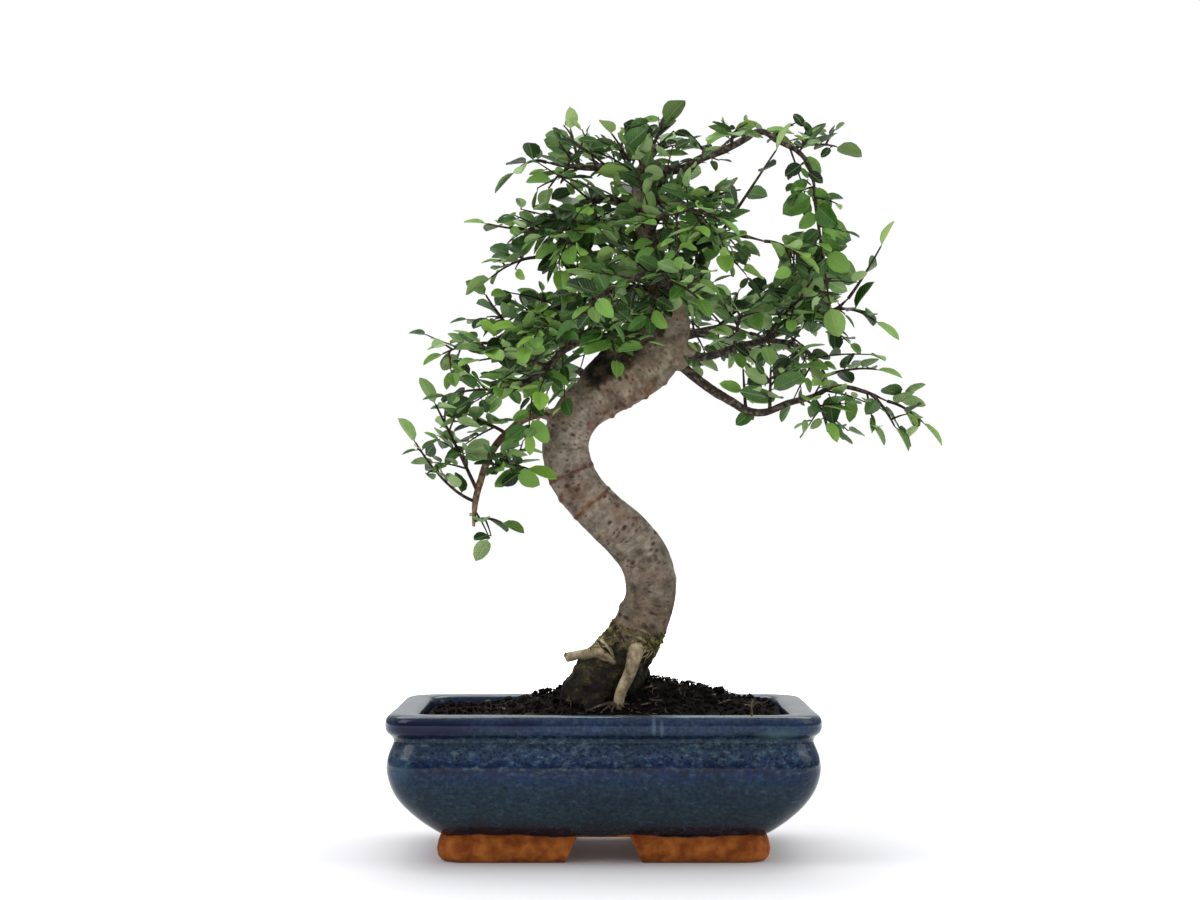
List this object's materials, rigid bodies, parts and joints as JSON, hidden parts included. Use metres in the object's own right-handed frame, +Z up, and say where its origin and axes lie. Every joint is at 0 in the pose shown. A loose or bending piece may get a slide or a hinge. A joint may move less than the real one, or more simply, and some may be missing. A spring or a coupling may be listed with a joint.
{
  "type": "chinese elm bonsai in a pot",
  "caption": "Chinese elm bonsai with an S-curved trunk, spreading leafy boughs and roots, in a rectangular glazed pot on unglazed feet.",
  "frame": {"origin": "bottom centre of the whole plant's bounding box, on the surface the pot stands on", "axes": "+Z up along the trunk, -Y towards the pot's front, +X to the right seen from the front"},
  "size_m": [0.263, 0.1688, 0.3628],
  "materials": {
    "glazed_stoneware": "speckled cobalt and slate-blue reduction glaze, gloss, with bare terracotta feet",
    "potting_soil": "dark moist crumbly potting mix with bark chips and fibres",
    "mesh_plastic": "matt black plastic drainage net",
    "elm_bark": "grey-brown bark with rusty lenticels and ring scars, dark on the twigs",
    "elm_leaf": "mid to dark green toothed leaves with a soft sheen, paler beneath"
  },
  "bodies": {
    "root": {"drain_mesh_left": "mesh_plastic", "drain_mesh_right": "mesh_plastic", "pot": "glazed_stoneware", "shoot_back_1": "elm_leaf", "shoot_back_2": "elm_leaf", "shoot_back_high_1": "elm_leaf", "shoot_back_high_2": "elm_leaf", "shoot_back_left_1": "elm_leaf", "shoot_back_left_2": "elm_leaf", "shoot_back_right_1": "elm_leaf", "shoot_back_right_2": "elm_leaf", "shoot_front_1": "elm_leaf", "shoot_front_2": "elm_leaf", "shoot_front_high_1": "elm_leaf", "shoot_left_1": "elm_leaf", "shoot_left_2": "elm_leaf", "shoot_left_3": "elm_leaf", "shoot_left_4": "elm_leaf", "shoot_low_left_1": "elm_leaf", "shoot_low_left_2": "elm_leaf", "shoot_low_left_3": "elm_leaf", "shoot_low_left_4": "elm_leaf", "shoot_low_left_5": "elm_leaf", "shoot_low_right_1": "elm_leaf", "shoot_low_right_2": "elm_leaf", "shoot_low_right_3": "elm_leaf", "shoot_low_right_4": "elm_leaf", "shoot_low_right_5": "elm_leaf", "shoot_mid_left_1": "elm_leaf", "shoot_mid_left_2": "elm_leaf", "shoot_mid_left_3": "elm_leaf", "shoot_mid_left_4": "elm_leaf", "shoot_mid_right_1": "elm_leaf", "shoot_mid_right_2": "elm_leaf", "shoot_mid_right_3": "elm_leaf", "shoot_mid_right_4": "elm_leaf", "shoot_mid_right_5": "elm_leaf", "shoot_mid_right_6": "elm_leaf", "shoot_right_fork_1": "elm_leaf", "shoot_top_left_1": "elm_leaf", "shoot_top_left_2": "elm_leaf", "shoot_top_left_3": "elm_leaf", "shoot_top_right_1": "elm_leaf", "shoot_top_right_2": "elm_leaf", "shoot_top_right_3": "elm_leaf", "shoot_top_right_4": "elm_leaf", "shoot_top_right_5": "elm_leaf", "shoot_trunk_1": "elm_leaf", "shoot_trunk_2": "elm_leaf", "shoot_trunk_3": "elm_leaf", "shoot_upper_left_1": "elm_leaf", "shoot_upper_left_2": "elm_leaf", "shoot_upper_left_3": "elm_leaf", "shoot_upper_left_4": "elm_leaf", "shoot_upper_right_1": "elm_leaf", "shoot_upper_right_2": "elm_leaf", "shoot_upper_right_3": "elm_leaf", "shoot_upper_right_4": "elm_leaf", "soil": "potting_soil", "trunk_and_boughs": "elm_bark"}
  },
  "joints": []
}
